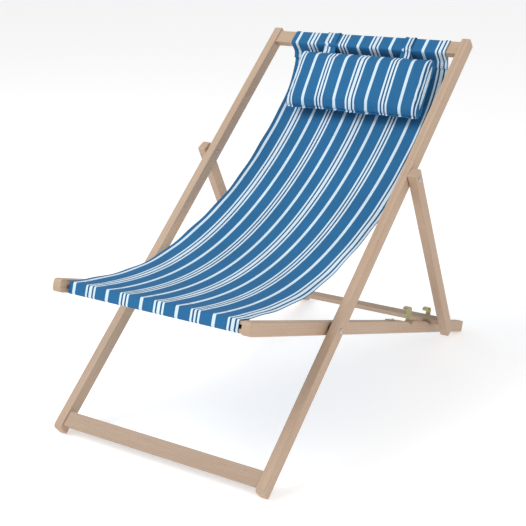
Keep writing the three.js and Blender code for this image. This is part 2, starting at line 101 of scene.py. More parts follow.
camera = place_in_scene("camera", bpy.data.cameras.new("camera"))
camera.data.sensor_width = SENSOR
camera.data.lens = CAMERA_LENS
camera.matrix_world = (
    Matrix.Translation(CAMERA_AT)
    @ Matrix.Rotation(math.radians(CAMERA_YAW), 4, "Z")
    @ Matrix.Rotation(math.radians(90 + CAMERA_PITCH), 4, "X")
    @ Matrix.Rotation(math.radians(CAMERA_ROLL), 4, "Z")
)
bpy.context.scene.camera = camera
bpy.context.scene.view_settings.view_transform = "Standard"

for name, (place, side, power) in PANELS.items():
    panel = place_in_scene(name, bpy.data.lights.new(name, "AREA"))
    panel.data.size = side
    panel.data.energy = power
    panel.location = place
    panel.rotation_euler = (Vector(place) - Vector(PANELS_AIM)).to_track_quat("Z", "Y").to_euler()

sky = bpy.data.worlds.new("pale_sky")
sky.use_nodes = True
sky.node_tree.nodes["Background"].inputs["Color"].default_value = (1, 1, 1, 1)
sky.node_tree.nodes["Background"].inputs["Strength"].default_value = SKY_STRENGTH
bpy.context.scene.world = sky


def mesh_from(name, points, faces):
    """An object from an array of points and a list of faces, smooth all over."""
    mesh = bpy.data.meshes.new(name)
    mesh.from_pydata(points.tolist(), [], faces)
    mesh.polygons.foreach_set("use_smooth", np.ones(len(mesh.polygons), bool))
    mesh.update()
    return place_in_scene(name, mesh)


def add_node(tree, kind, inputs=(), **settings):
    """One shader node. Each of inputs is a value, or another node's output that is linked in."""
    node = tree.nodes.new("ShaderNode" + kind)
    for key, value in settings.items():
        setattr(node, key, value)
    for key, value in dict(inputs).items():
        if isinstance(value, bpy.types.NodeSocket):
            tree.links.new(value, node.inputs[key])
        else:
            node.inputs[key].default_value = value
    return node


def new_material(name):
    """A material with nothing but its surface shader: (material, its tree, its Principled BSDF)."""
    material = bpy.data.materials.new(name)
    material.use_nodes = True
    tree = material.node_tree
    return material, tree, tree.nodes["Principled BSDF"]


corner = FLOOR_SIZE / 2
floor = mesh_from(
    "floor",
    np.array([(-corner, -corner, 0), (corner, -corner, 0), (corner, corner, 0), (-corner, corner, 0)]),
    [(0, 1, 2, 3)],
)
floor_paint, floor_tree, floor_shader = new_material("floor_paint")
floor_shader.inputs["Base Color"].default_value = FLOOR_COLOUR
floor_shader.inputs["Roughness"].default_value = 0.9
floor_shader.inputs["Emission Color"].default_value = (1, 1, 1, 1)
floor_shader.inputs["Emission Strength"].default_value = FLOOR_GLOW
floor.data.materials.append(floor_paint)
floor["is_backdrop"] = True

# ---------------------------------------------------------------- back frame
# Two long beech rails, a foot slat and a top bar, planed square with eased edges, glued with tenons and
# oiled. The grain runs along each piece; beech is pale and pinkish with short dark ray flecks.

BACK_ANGLE = 39.7
OIL_PALE = (0.535, 0.400, 0.292, 1)
OIL_PINK = (0.500, 0.352, 0.252, 1)
LATE_WOOD = (0.425, 0.285, 0.188, 1)
RAY_FLECK = (0.330, 0.195, 0.115, 1)
EDGE_RADIUS = 0.0016


def new_group(name, takes, gives):
    """An empty node group and its two end nodes. takes and gives are (label, socket kind) pairs."""
    tree = bpy.data.node_groups.new(name, "ShaderNodeTree")
    for pairs, side in ((takes, "INPUT"), (gives, "OUTPUT")):
        for label, kind in pairs:
            tree.interface.new_socket(label, in_out=side, socket_type="NodeSocket" + kind)
    return tree, tree.nodes.new("NodeGroupInput").outputs, tree.nodes.new("NodeGroupOutput").inputs


def reckon(tree, operation, *values):
    """One Math node's result."""
    return add_node(tree, "Math", dict(enumerate(values)), operation=operation).outputs[0]


def stretched(tree, vector, scale):
    """A vector with each of its parts multiplied."""
    return add_node(tree, "VectorMath", {0: vector, 1: scale}, operation="MULTIPLY").outputs[0]


def speckle(tree, vector, scale, detail=2.0, roughness=0.5):
    """Noise between 0 and 1."""
    inputs = {"Vector": vector, "Scale": scale, "Detail": detail, "Roughness": roughness}
    return add_node(tree, "TexNoise", inputs).outputs["Fac"]


def between(tree, value, low, high, out_low=0.0, out_high=1.0):
    """value carried from the range low..high to out_low..out_high, and held at its ends."""
    inputs = {0: value, 1: low, 2: high, 3: out_low, 4: out_high}
    return add_node(tree, "MapRange", inputs).outputs[0]


def blended(tree, share, first, second, mode="MIX"):
    """Two colours mixed by share."""
    node = add_node(tree, "Mix", data_type="RGBA", blend_type=mode)
    for socket, value in zip((node.inputs[0], node.inputs[6], node.inputs[7]), (share, first, second)):
        if isinstance(value, bpy.types.NodeSocket):
            tree.links.new(value, socket)
        else:
            socket.default_value = value
    return node.outputs[2]


def beech_grain():
    """Solid grain along Y: rings about a far centre, stretched fibres, short flecks and a slow drift."""
    tree, given, result = new_group(
        "beech grain",
        [("Vector", "Vector")],
        [("Color", "Color"), ("Roughness", "Float"), ("Height", "Float")],
    )
    long = stretched(tree, given["Vector"], (1, 0.035, 1))
    rings = add_node(
        tree,
        "TexWave",
        {"Vector": long, "Scale": 78, "Distortion": 6.0, "Detail": 3.0, "Detail Scale": 0.35},
        wave_type="RINGS",
        rings_direction="Y",
    ).outputs["Fac"]
    fibres = speckle(tree, long, 1100, 3, 0.6)
    coarse = speckle(tree, long, 260, 2)
    drift = speckle(tree, stretched(tree, given["Vector"], (1, 0.15, 1)), 16, 2)
    rays = speckle(tree, stretched(tree, given["Vector"], (1, 0.16, 0.7)), 760, 1)
    fleck = between(tree, rays, 0.63, 0.72)
    tone = blended(tree, between(tree, drift, 0.35, 0.65), OIL_PALE, OIL_PINK)
    late = reckon(tree, "MULTIPLY", reckon(tree, "POWER", rings, 3.0), 0.34)
    streak = reckon(tree, "MULTIPLY_ADD", between(tree, coarse, 0.4, 0.7), 0.22, late)
    streak = reckon(tree, "MULTIPLY_ADD", between(tree, fibres, 0.45, 0.75), 0.24, streak)
    wood = blended(tree, streak, tone, LATE_WOOD)
    wood = blended(tree, reckon(tree, "MULTIPLY", fleck, 0.42), wood, RAY_FLECK)
    tree.links.new(wood, result["Color"])
    tree.links.new(reckon(tree, "MULTIPLY_ADD", fibres, 0.22, 0.40), result["Roughness"])
    raised = reckon(tree, "MULTIPLY_ADD", fibres, 0.6, reckon(tree, "MULTIPLY", rings, 0.2))
    tree.links.new(reckon(tree, "SUBTRACT", raised, reckon(tree, "MULTIPLY", fleck, 0.5)), result["Height"])
    return tree


def eased_edge():
    """The normal rounded over near edges, and a mask that is 1 on an edge and 0 away from it."""
    tree, given, result = new_group(
        "eased edge", [("Radius", "Float")], [("Mask", "Float"), ("Normal", "Vector")]
    )
    rounded = add_node(tree, "Bevel", {"Radius": given["Radius"]}, samples=6).outputs["Normal"]
    true = add_node(tree, "NewGeometry").outputs["Normal"]
    same = add_node(tree, "VectorMath", {0: rounded, 1: true}, operation="DOT_PRODUCT").outputs["Value"]
    tree.links.new(between(tree, same, 0.99, 0.86), result["Mask"])
    tree.links.new(rounded, result["Normal"])
    return tree


def use_group(tree, group, inputs):
    """A node that stands for a group, and its outputs."""
    node = add_node(tree, "Group", node_tree=group)
    for key, value in inputs.items():
        if isinstance(value, bpy.types.NodeSocket):
            tree.links.new(value, node.inputs[key])
        else:
            node.inputs[key].default_value = value
    return node.outputs


def own_place(tree, offset=(0, 0, 0), turn=(0, 0, 0)):
    """Object coordinates, turned by degrees and moved."""
    where = add_node(tree, "TexCoord").outputs["Object"]
    turned = {"Vector": where, "Location": offset, "Rotation": [math.radians(a) for a in turn]}
    return add_node(tree, "Mapping", turned).outputs[0]


def bumped(tree, height, distance, strength=1.0, normal=None):
    """A normal from a height, given in shares of distance."""
    inputs = {"Height": height, "Distance": distance, "Strength": strength}
    if normal is not None:
        inputs["Normal"] = normal
    return add_node(tree, "Bump", inputs).outputs[0]


GRAIN = beech_grain()
EASED = eased_edge()
# a painted highlight along the wood's eased edges: its pale tint and how much of it is mixed in
EDGE_HIGHLIGHT_TINT = (0.66, 0.51, 0.385, 1)
EDGE_HIGHLIGHT_SHARE = 0.30


def oil(node, turn, offset, tone=1.0):
    """Oils one wooden piece. turn brings its length to Y, offset says where in the plank it was cut, and
    tone darkens a piece from a darker plank."""
    material, tree, shader = new_material("oiled_beech_" + node)
    grain = use_group(tree, GRAIN, {"Vector": own_place(tree, offset, turn)})
    edge = use_group(tree, EASED, {"Radius": EDGE_RADIUS})
    # painted highlight: the grain is mixed towards a pale tint along the eased edges
    highlight_share = reckon(tree, "MULTIPLY", edge["Mask"], EDGE_HIGHLIGHT_SHARE)
    highlighted_grain = blended(tree, highlight_share, grain["Color"], EDGE_HIGHLIGHT_TINT)
    tree.links.new(blended(tree, 1.0, highlighted_grain, (tone, tone, tone, 1), "MULTIPLY"), shader.inputs["Base Color"])
    tree.links.new(grain["Roughness"], shader.inputs["Roughness"])
    tree.links.new(
        bumped(tree, grain["Height"], 0.00012, 0.6, edge["Normal"]), shader.inputs["Normal"]
    )
    shader.inputs["Specular IOR Level"].default_value = 0.35
    frame["nodes"][node].material_slots[0].material = material


ALONG_BACK = (-BACK_ANGLE, 0, 0)
ACROSS_CHAIR = (0, 0, 90)
oil("back_rail_left", ALONG_BACK, (0.060, 0.3, 0.031))
oil("back_rail_right", ALONG_BACK, (-0.215, -0.9, 0.052))
oil("foot_slat", ACROSS_CHAIR, (0.43, 0.2, 0.02), 0.88)
oil("top_bar", ACROSS_CHAIR, (-0.36, 0.5, -0.71))

# ---------------------------------------------------------------- seat frame
# Two beech rails with ratchet notches in their upper edges, and two thin bars across their front ends,
# one above the other, that the sling is wrapped round.

SEAT_ANGLE = -18.437
ALONG_SEAT = (-SEAT_ANGLE, 0, 0)
oil("seat_rail_left", ALONG_SEAT, (0.310, 0.7, -0.20))
oil("seat_rail_right", ALONG_SEAT, (-0.190, 0.1, -0.26))
oil("front_bar_upper", ACROSS_CHAIR, (-0.44, 0.1, -0.30))
oil("front_bar_lower", ACROSS_CHAIR, (-0.47, 0.6, -0.36))

# ---------------------------------------------------------------- catch hooks
# Stamped strip steel with a yellow zinc finish, screwed to the seat rails. The plating clouds from brass
# to olive and pink, and a painted highlight makes it pale on the edges.

ZINC_BRASS = (0.72, 0.64, 0.32, 1)
ZINC_OLIVE = (0.64, 0.60, 0.30, 1)
ZINC_ROSE = (0.70, 0.57, 0.38, 1)
# pale zinc: a cloud colour of the screws, and the painted highlight on the plated edges
ZINC_PALE_AND_HIGHLIGHT = (0.82, 0.79, 0.64, 1)


def plated(name, nodes, cloud, edge_highlight, roughness, edge_radius):
    """A plated metal for nodes: three clouded colours, paler on the edges by a painted highlight, with fine
    rolling marks.
    """
    material, tree, shader = new_material(name)
    where = own_place(tree)
    edge = use_group(tree, EASED, {"Radius": edge_radius})
    first = between(tree, speckle(tree, where, 90, 3), 0.38, 0.62)
    second = between(tree, speckle(tree, where, 210, 2), 0.5, 0.75)
    colour = blended(tree, first, cloud[0], cloud[1])
    colour = blended(tree, second, colour, cloud[2])
    # painted highlight: the edges are mixed towards a pale colour
    highlight_share = reckon(tree, "MULTIPLY", edge["Mask"], 0.7)
    tree.links.new(blended(tree, highlight_share, colour, edge_highlight), shader.inputs["Base Color"])
    marks = speckle(tree, stretched(tree, where, (1, 0.08, 0.08)), 2600, 2)
    dull = between(tree, marks, 0.2, 0.8, roughness - 0.08, roughness + 0.1)
    tree.links.new(dull, shader.inputs["Roughness"])
    tree.links.new(bumped(tree, marks, 0.00003, 0.5, edge["Normal"]), shader.inputs["Normal"])
    shader.inputs["Metallic"].default_value = 1.0
    for node in nodes:
        frame["nodes"][node].material_slots[0].material = material


SIDES = ("left", "right")
PLACES = [f"{which}_{side}" for which in ("front", "rear") for side in SIDES]
ZINC_CLOUD = (ZINC_BRASS, ZINC_OLIVE, ZINC_ROSE)
plated(
    "yellow_zinc",
    ["catch_hook_" + place for place in PLACES],
    ZINC_CLOUD,
    ZINC_PALE_AND_HIGHLIGHT,
    roughness=0.46,
    edge_radius=0.0006,
)
plated(
    "yellow_zinc_screws",
    [kind + place for kind in ("hook_tab_screw_", "hook_plate_screw_") for place in PLACES],
    (ZINC_PALE_AND_HIGHLIGHT, ZINC_BRASS, ZINC_PALE_AND_HIGHLIGHT),
    ZINC_PALE_AND_HIGHLIGHT,
    roughness=0.28,
    edge_radius=0.0007,
)

# ---------------------------------------------------------------- prop frame
# Two beech legs hinged on the outside of the back rails, and a crossbar pegged through each leg, which
# rests in the seat rails' notches.

PROP_ANGLE = -64.2
ALONG_PROP = (-PROP_ANGLE, 0, 0)
oil("prop_leg_left", ALONG_PROP, (0.335, 0.4, 0.16))
oil("prop_leg_right", ALONG_PROP, (-0.280, -0.3, 0.11))
oil("prop_crossbar", ACROSS_CHAIR, (0.03, 0.9, -0.06))
oil("crossbar_pin_left", ALONG_PROP, (0.31, 0.1, 0.02))
oil("crossbar_pin_right", ALONG_PROP, (-0.30, 0.2, 0.05))

# ---------------------------------------------------------------- pivots
# Nickel-plated furniture bolts with a hexagon socket outside and a sleeve nut inside, and dark nylon
# washers and spacers between the rails.

NICKEL = ((0.56, 0.55, 0.53, 1), (0.46, 0.455, 0.45, 1), (0.62, 0.60, 0.57, 1))
# the painted highlight on the nickel's edges
NICKEL_HIGHLIGHT = (0.78, 0.77, 0.75, 1)
NYLON_DARK = (0.030, 0.030, 0.033, 1)
# a paler grey for the random grit and for the painted highlight on the edges
NYLON_GRIT_AND_HIGHLIGHT = (0.085, 0.085, 0.09, 1)
PIVOTS = [f"{which}_pivot_{{}}_{side}" for which in ("seat", "prop") for side in SIDES]
plated(
    "nickel_plate",
    [pivot.format(kind) for pivot in PIVOTS for kind in ("bolt", "nut")],
    NICKEL,
    NICKEL_HIGHLIGHT,
    roughness=0.30,
    edge_radius=0.0012,
)

nylon, nylon_tree, nylon_shader = new_material("nylon_washer")
nylon_edge = use_group(nylon_tree, EASED, {"Radius": 0.0008})
nylon_pores = speckle(nylon_tree, own_place(nylon_tree), 2400, 2)
nylon_grit = between(nylon_tree, nylon_pores, 0.6, 0.8)
# paler in random grit, and along the edges by a painted highlight
nylon_grit_and_highlight = reckon(nylon_tree, "MULTIPLY_ADD", nylon_edge["Mask"], 0.8, nylon_grit)
nylon_tree.links.new(
    blended(nylon_tree, nylon_grit_and_highlight, NYLON_DARK, NYLON_GRIT_AND_HIGHLIGHT), nylon_shader.inputs["Base Color"]
)
nylon_dull = between(nylon_tree, nylon_pores, 0.2, 0.8, 0.45, 0.65)
nylon_tree.links.new(nylon_dull, nylon_shader.inputs["Roughness"])
nylon_tree.links.new(
    bumped(nylon_tree, nylon_pores, 0.00005, 0.5, nylon_edge["Normal"]), nylon_shader.inputs["Normal"]
)
for side in SIDES:
    for node in ("seat_pivot_spacer_", "prop_pivot_washer_"):
        frame["nodes"][node + side].material_slots[0].material = nylon

# ---------------------------------------------------------------- sling
# One length of yarn-dyed cotton canvas, hemmed at both sides. Each end is wrapped round its bars and sewn
# down on itself with two rows of stitches, so it hangs in one long hollow from the top bar to the seat.

SLING_WIDTH = 0.446
CLOTH_THICK = 0.0010
HEM = 0.011
SLING_SHIFT = (0.012, -0.006)        # to the side, at the top and at the front
BAR_TO_CLOTH = 0.0015                # a bar's face to the middle of the cloth round it
TOP_BAR_S, TOP_BAR_N = (1.201, 1.240), (-0.005, 0.012)
FRONT_BAR_S, FRONT_BAR_N = (-0.305, -0.279), (-0.013, 0.011)
SEAT_PIVOT_S = 0.398
TOP_LEAVES_S, FRONT_LEAVES_S = 1.209, -0.301
TOP_PULLS = ((0.027, -0.150), (-0.363, -0.384))
FRONT_PULL = (0.352, -0.076)
SEAM_NEAR, SEAM_FAR = 0.016, 0.034   # where the sewn-down end starts and stops, from the bar
SEAM_RAISE = 0.0022
FRONT_LAP = 0.012                    # how much further in the front end is sewn down
BAR_ROUND = 0.006                    # the cloth's turn at a bar's edge
LOOP_STEP, HANG_STEP = 0.0014, 0.0045

joints = {j["name"]: j for j in frame["record"]["behaviour"]["joints"]}
pivot = np.array(joints["seat_fold"]["pos_m"][1:])


def heading(angle):
    """The unit vectors along a frame's rails and across them, in Y and Z."""
    a = math.radians(angle)
    return np.array([(math.cos(a), math.sin(a)), (-math.sin(a), math.cos(a))])


def on_back(s, n):
    """A point of the back frame's plane: s along the rails from the foot, n across."""
    return pivot + (s - SEAT_PIVOT_S) * heading(BACK_ANGLE)[0] + n * heading(BACK_ANGLE)[1]


def on_seat(s, n):
    """A point of the seat frame's plane: s along the rails from the pivot, n across."""
    return pivot + s * heading(SEAT_ANGLE)[0] + n * heading(SEAT_ANGLE)[1]


def sideways(line):
    """The unit vectors that stand on a line of Y, Z points, a quarter turn to its right."""
    run = np.gradient(line, axis=0)
    run /= np.linalg.norm(run, axis=1)[:, None]
    return np.stack([run[:, 1], -run[:, 0]], axis=1)


def lengths_along(line):
    """The distance of each point of a line from its start."""
    return np.concatenate([[0], np.cumsum(np.linalg.norm(np.diff(line, axis=0), axis=1))])


def round_corners(corners, radius):
    """A line through corners, each cut off at radius on both sides and closed with a quadratic curve."""
    corners = np.array(corners)
    first, middle, last = corners[:-2], corners[1:-1], corners[2:]
    back = first - middle
    ahead = last - middle
    reach_back = np.minimum(radius, np.linalg.norm(back, axis=1) / 2)[:, None]
    reach_ahead = np.minimum(radius, np.linalg.norm(ahead, axis=1) / 2)[:, None]
    start = middle + reach_back * back / np.linalg.norm(back, axis=1)[:, None]
    end = middle + reach_ahead * ahead / np.linalg.norm(ahead, axis=1)[:, None]
    t = np.linspace(0, 1, 8)[None, :, None]
    curves = (1 - t) ** 2 * start[:, None] + 2 * t * (1 - t) * middle[:, None] + t**2 * end[:, None]
    return np.concatenate([corners[:1], curves.reshape(-1, 2), corners[-1:]])


def spaced(line, step):
    """The line again with its points step apart."""
    arc = lengths_along(line)
    at = np.linspace(0, arc[-1], max(2, int(round(arc[-1] / step)) + 1))
    return np.stack([np.interp(at, arc, line[:, k]) for k in (0, 1)], axis=1)


top_leaves = on_back(TOP_LEAVES_S, TOP_BAR_N[0] - BAR_TO_CLOTH)
front_leaves = on_seat(FRONT_LEAVES_S, FRONT_BAR_N[1] + BAR_TO_CLOTH)
pulls = np.array([
    top_leaves,
    top_leaves + TOP_PULLS[0],
    top_leaves + TOP_PULLS[1],
    front_leaves + FRONT_PULL,
    front_leaves,
])
t = np.linspace(0, 1, 400)[:, None]
# a quartic curve pulled by five points
hanging = sum(math.comb(4, k) * (1 - t) ** (4 - k) * t**k * pulls[k] for k in range(5))
hanging_arc = lengths_along(hanging)
hanging_side = sideways(hanging)


def beside_hanging(distance, raised):
    """A point at a distance along the hanging cloth, raised from it on the sitter's side."""
    return np.array([
        np.interp(distance, hanging_arc, hanging[:, k] + raised * hanging_side[:, k]) for k in (0, 1)
    ])


gap = BAR_TO_CLOTH
hang_length = hanging_arc[-1]
top_loop = round_corners(
    [
        beside_hanging(SEAM_FAR, SEAM_RAISE),
        beside_hanging(SEAM_NEAR, SEAM_RAISE),
        on_back(TOP_BAR_S[0] - gap, TOP_BAR_N[1] + gap),
        on_back(TOP_BAR_S[1] + gap, TOP_BAR_N[1] + gap),
        on_back(TOP_BAR_S[1] + gap, TOP_BAR_N[0] - gap),
        top_leaves,
    ],
    BAR_ROUND,
)
front_loop = round_corners(
    [
        front_leaves,
        on_seat(FRONT_BAR_S[0] - gap, FRONT_BAR_N[1] + gap),
        on_seat(FRONT_BAR_S[0] - gap, FRONT_BAR_N[0] - gap),
        on_seat(FRONT_BAR_S[1] + gap, FRONT_BAR_N[0] - gap),
        beside_hanging(hang_length - SEAM_NEAR - FRONT_LAP, -SEAM_RAISE),
        beside_hanging(hang_length - SEAM_FAR - FRONT_LAP, -SEAM_RAISE),
    ],
    BAR_ROUND,
)
sling_line = np.concatenate([
    spaced(top_loop, LOOP_STEP)[:-1],
    spaced(hanging, HANG_STEP),
    spaced(front_loop, LOOP_STEP)[1:],
])
sling_arc = lengths_along(sling_line)
sling_side = sideways(sling_line)
hang_start = lengths_along(spaced(top_loop, LOOP_STEP))[-1]
hang_end = hang_start + hang_length


def sling_lift(u, v):
    """How far the cloth lies off its line. Between its hems it sags by a parabola across times a sine squared
    along. Near the bars two sines across it ripple it. At its edges two sines along it roll it, and the hem
    droops; both die away exponentially from the edge."""
    inside = np.clip(np.minimum(v - hang_start, hang_end - v) / 0.05, 0, 1)
    inside = inside * inside * (3 - 2 * inside)
    across = 2 * u / SLING_WIDTH - 1
    hollow = np.sin(np.pi * np.clip((v - hang_start) / hang_length, 0, 1)) ** 2
    sag = -0.0055 * (1 - across**2) * hollow
    near_bar = np.exp(-np.minimum(np.abs(v - hang_start), np.abs(hang_end - v)) / 0.075)
    ripple = 0.0010 * np.sin(2 * np.pi * u / 0.067 + 1.3) + 0.0006 * np.sin(2 * np.pi * u / 0.031 + 0.4)
    edge = np.exp(-np.minimum(u, SLING_WIDTH - u) / 0.022)
    roll = 0.0022 * np.sin(2 * np.pi * v / 0.37 + 0.9) + 0.0010 * np.sin(2 * np.pi * v / 0.118 + 3 * across)
    hem_droop = -0.0030 * np.exp(-np.minimum(u, SLING_WIDTH - u) / 0.007)
    return inside * (sag + near_bar * ripple + edge * roll + hem_droop)


def sling_at(u, v, h):
    """A point of the cloth: v along its line, u across it, and h off the line on the sitter's side."""
    y, z, across_y, across_z = (
        np.interp(v, sling_arc, column) for column in (*sling_line.T, *sling_side.T)
    )
    off = h + sling_lift(u, v)
    y, z = y + off * across_y, z + off * across_z
    back_share = (y - front_leaves[0]) / (top_leaves[0] - front_leaves[0])
    shift = SLING_SHIFT[1] + (SLING_SHIFT[0] - SLING_SHIFT[1]) * back_share
    return np.stack([u - SLING_WIDTH / 2 + shift, y, z], axis=-1)


def band_outline(width, thick, hem, columns):
    """The outline across a band: its face, a round edge, its underside, one cloth lower at the hems."""
    face = np.linspace(thick, width - thick, columns)
    turn = np.linspace(0.5, -0.5, 5)[1:-1] * np.pi
    middle, radius = -thick / 2, thick
    edge_u, edge_h = radius * np.cos(turn), middle + radius * np.sin(turn)
    under = np.linspace(width - hem - thick, hem + thick, columns - 8)
    hem_right = np.linspace(width - thick, width - hem, 4)
    hem_left = np.linspace(hem, thick, 4)
    u = np.concatenate([face, width - thick + edge_u, hem_right, under, hem_left, thick - edge_u[::-1]])
    h = np.concatenate([
        np.full(len(face), thick / 2),
        edge_h,
        np.full(4, -1.5 * thick),
        np.full(len(under), -0.5 * thick),
        np.full(4, -1.5 * thick),
        edge_h[::-1],
    ])
    return u, h


def closed_tube(name, points, ring, turned=False):
    """A closed skin over points that come in rings, one after another, with the first and last ring filled.
    turned is for rings that run the other way round, so that every face still looks outwards."""
    count = len(points) // ring
    row, column = np.arange(count - 1)[:, None] * ring, np.arange(ring)[None, :]
    following = (column + 1) % ring
    first, last = np.arange(ring), np.arange(count * ring - 1, (count - 1) * ring - 1, -1)
    corners = [row + column, row + ring + column, row + ring + following, row + following]
    if turned:
        corners[1:] = corners[:0:-1]
        first, last = first[::-1], last[::-1]
    walls = np.stack(corners, axis=-1).reshape(-1, 4).tolist()
    return mesh_from(name, points, walls + [first.tolist(), last.tolist()])


def woven_band(name, surface, arc, width, thick, hem, columns):
    """A closed band of cloth: the outline across it, carried along arc by surface(u, v, h), ends closed.
    Its UV map holds metres across and along the cloth."""
    u, h = band_outline(width, thick, hem, columns)
    ring, count = len(u), len(arc)
    grid_u, grid_v = np.broadcast_to(u, (count, ring)), np.broadcast_to(arc[:, None], (count, ring))
    points = surface(grid_u, grid_v, np.broadcast_to(h, (count, ring))).reshape(-1, 3)
    band = closed_tube(name, points, ring)
    corners = np.empty(len(band.data.loops), np.int32)
    band.data.loops.foreach_get("vertex_index", corners)
    cloth = np.stack([grid_u.ravel(), grid_v.ravel()], axis=1)[corners]
    band.data.uv_layers.new(name="cloth").data.foreach_set("uv", cloth.astype(np.float32).ravel())
    return band


def stitch_rows(name, surface, u, v, h, along_v, length, radius):
    """Stitches of thread, half sunk in the cloth: each is a short five-sided rod, thin at its ends, that lies
    along v or along u. They stand out on the side that h is on."""
    near = 0.0008
    centre = surface(u, v, h)
    run_v = surface(u, v + near, h) - surface(u, v - near, h)
    run_u = surface(u + near, v, h) - surface(u - near, v, h)
    run_v /= np.linalg.norm(run_v, axis=1)[:, None]
    run_u /= np.linalg.norm(run_u, axis=1)[:, None]
    up = np.cross(run_u, run_v)
    up /= np.linalg.norm(up, axis=1)[:, None]
    run, side = (run_v, np.cross(up, run_v)) if along_v else (run_u, np.cross(up, run_u))
    turn = np.arange(5) * 2 * np.pi / 5
    stations = np.array([(-0.5, 0.35), (-0.3, 0.9), (0.0, 1.0), (0.3, 0.9), (0.5, 0.35)])
    shape = np.array([
        (a * length, r * radius * math.cos(w), r * radius * math.sin(w)) for a, r in stations for w in turn
    ])
    points = (
        centre[:, None]
        + shape[None, :, :1] * run[:, None]
        + shape[None, :, 1:2] * side[:, None]
        + shape[None, :, 2:] * up[:, None]
    ).reshape(-1, 3)
    k = np.arange(5)
    walls = np.stack([k, (k + 1) % 5, (k + 1) % 5 + 5, k + 5], axis=1)
    walls = (walls[None] + np.arange(4)[:, None, None] * 5).reshape(-1, 4)
    first = np.arange(len(centre))[:, None, None] * len(shape)
    caps = np.array([[4, 3, 2, 1, 0], [20, 21, 22, 23, 24]])
    faces = (walls[None] + first).reshape(-1, 4).tolist() + (caps[None] + first).reshape(-1, 5).tolist()
    return mesh_from(name, points, faces)


DYE_BLUE = (0.023, 0.142, 0.318, 1)
DYE_BLUE_DEEP = (0.016, 0.100, 0.245, 1)
DYE_NAVY = (0.018, 0.092, 0.215, 1)
YARN_WHITE = (0.66, 0.80, 0.90, 1)
YARN_GREY = (0.46, 0.64, 0.76, 1)
STRIPE_PITCH = 0.0461
THREAD = 0.00085
TWILL_PITCH, TWILL_STRENGTH = 0.0036, 0.22
# Share of four pitches at which each colour starts. The bool says that it is twilled with grey yarn.
STRIPES = [
    (0.0000, YARN_WHITE, True),
    (0.0219, DYE_BLUE, False),
    (0.1792, YARN_WHITE, False),
    (0.2032, DYE_NAVY, False),
    (0.2300, YARN_WHITE, True),
    (0.2700, DYE_NAVY, False),
    (0.2968, YARN_WHITE, False),
    (0.3208, DYE_BLUE, False),
    (0.4781, YARN_WHITE, True),
    (0.5219, DYE_BLUE, False),
    (0.6870, YARN_WHITE, False),
    (0.7110, DYE_NAVY, False),
    (0.7380, YARN_WHITE, False),
    (0.7620, DYE_NAVY, False),
    (0.7890, YARN_WHITE, False),
    (0.8130, DYE_BLUE, False),
    (0.9781, YARN_WHITE, True),
]


def striped_canvas():
    """Yarn-dyed stripes by the distance across, a diagonal in the broad ones, a plain weave, and slubs."""
    tree, given, result = new_group(
        "striped canvas",
        [("Across", "Float"), ("Along", "Float"), ("Start", "Float")],
        [("Color", "Color"), ("Roughness", "Float"), ("Height", "Float")],
    )
    across, along = given["Across"], given["Along"]
    repeat = reckon(tree, "DIVIDE", reckon(tree, "SUBTRACT", across, given["Start"]), 4 * STRIPE_PITCH)
    plan = add_node(tree, "ValToRGB", {0: reckon(tree, "FRACT", repeat)})
    plan.color_ramp.interpolation = "CONSTANT"
    stops = plan.color_ramp.elements
    stops.remove(stops[1])
    for i, (start, colour, twilled) in enumerate(STRIPES):
        stop = stops[0] if i == 0 else stops.new(start)
        stop.position = start
        stop.color = (*colour[:3], 1.0 if twilled else 0.0)
    slant = reckon(tree, "ADD", across, along)
    twill = reckon(tree, "SINE", reckon(tree, "MULTIPLY", slant, 2 * math.pi / TWILL_PITCH))
    twill = reckon(tree, "MULTIPLY", between(tree, twill, -0.1, 0.5), plan.outputs["Alpha"])
    colour = blended(tree, reckon(tree, "MULTIPLY", twill, TWILL_STRENGTH), plan.outputs["Color"], YARN_GREY)
    where = add_node(tree, "CombineXYZ", {0: across, 1: along}).outputs[0]
    warp = speckle(tree, stretched(tree, where, (1, 0.02, 1)), 1100, 2)
    weft = speckle(tree, stretched(tree, where, (0.02, 1, 1)), 1100, 2)
    drift = speckle(tree, where, 9, 3)
    shade = reckon(tree, "MULTIPLY_ADD", warp, 0.30, reckon(tree, "MULTIPLY_ADD", weft, 0.22, 0.74))
    shade = reckon(tree, "MULTIPLY", shade, between(tree, drift, 0.3, 0.7, 0.94, 1.06))
    grey = add_node(tree, "CombineColor", {0: shade, 1: shade, 2: shade}).outputs[0]
    tree.links.new(blended(tree, 1.0, colour, grey, "MULTIPLY"), result["Color"])
    over = reckon(tree, "SINE", reckon(tree, "MULTIPLY", across, math.pi / THREAD))
    under = reckon(tree, "SINE", reckon(tree, "MULTIPLY", along, math.pi / THREAD))
    weave = reckon(tree, "MULTIPLY", over, under)
    height = reckon(tree, "MULTIPLY_ADD", weave, 0.5, reckon(tree, "MULTIPLY", warp, 0.6))
    tree.links.new(reckon(tree, "MULTIPLY_ADD", twill, 0.3, height), result["Height"])
    tree.links.new(between(tree, weft, 0.2, 0.8, 0.78, 0.92), result["Roughness"])
    return tree


CANVAS = striped_canvas()


def canvas_material(name, across, along, start, creases=0.0):
    """A woven material. across and along make the two distances in a tree; start is a stripe's middle."""
    material, tree, shader = new_material(name)
    inputs = {"Across": across(tree), "Along": along(tree), "Start": start}
    cloth = use_group(tree, CANVAS, inputs)
    tree.links.new(cloth["Color"], shader.inputs["Base Color"])
    tree.links.new(cloth["Roughness"], shader.inputs["Roughness"])
    normal = bumped(tree, cloth["Height"], 0.00022, 0.55)
    soft = speckle(tree, own_place(tree), 42, 3)
    tree.links.new(bumped(tree, soft, 0.0016 + creases, 0.30, normal), shader.inputs["Normal"])
    shader.inputs["Sheen Weight"].default_value = 0.03
    shader.inputs["Sheen Roughness"].default_value = 0.45
    shader.inputs["Specular IOR Level"].default_value = 0.15
    return material


